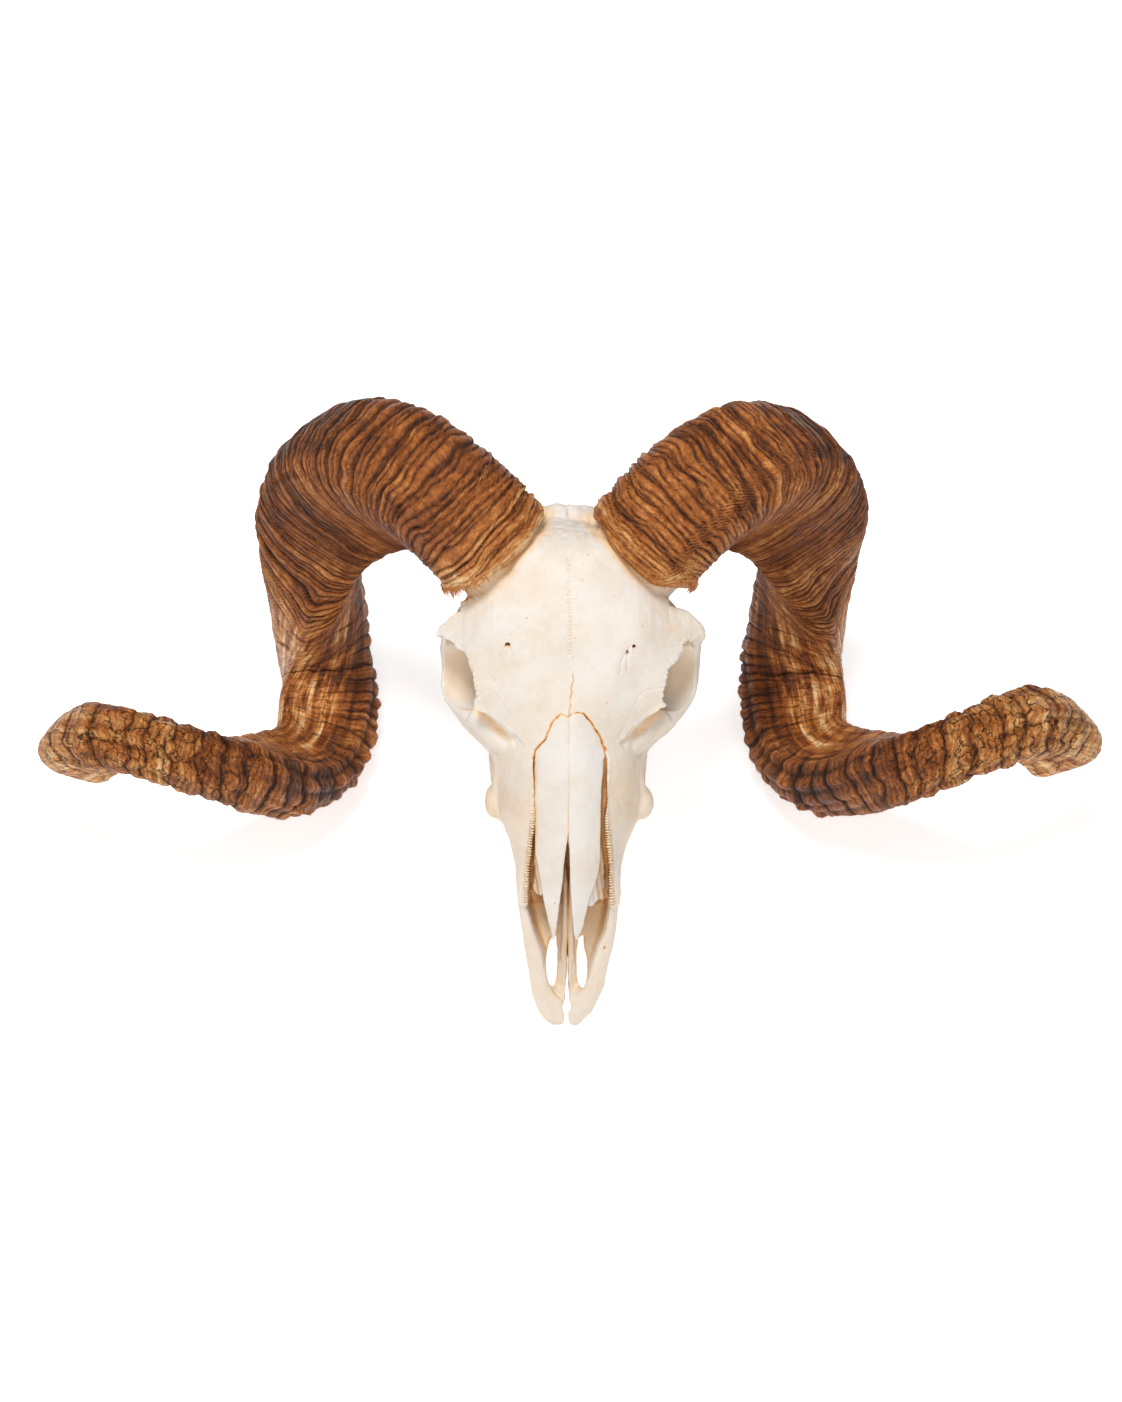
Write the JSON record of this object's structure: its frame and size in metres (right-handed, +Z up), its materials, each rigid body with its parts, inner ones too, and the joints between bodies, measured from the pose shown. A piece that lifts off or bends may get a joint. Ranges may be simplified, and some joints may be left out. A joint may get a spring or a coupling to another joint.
{
  "type": "ram skull",
  "caption": "Skull of a ram with both curled horns and no lower jaw, lying on its muzzle tips and the bottoms of its horn curls, as a still display or reference model.",
  "frame": {"origin": "centre of the bounding box, on the floor that the skull rests on", "axes": "+Z up; the muzzle points to -Y and down, the back of the head to +Y; +X to the animal's left"},
  "size_m": [0.5788, 0.276, 0.2405],
  "materials": {
    "bone": "dry cleaned bone, matt, off-white with tan hollows",
    "horn": "keratin horn sheath, satin, brown with dark grooves"
  },
  "bodies": {
    "root": {"cranium": "bone", "horn_left": "horn", "horn_right": "horn", "maxilla": "bone", "nasal_left": "bone", "nasal_right": "bone", "premaxilla_left": "bone", "premaxilla_right": "bone"}
  },
  "joints": []
}
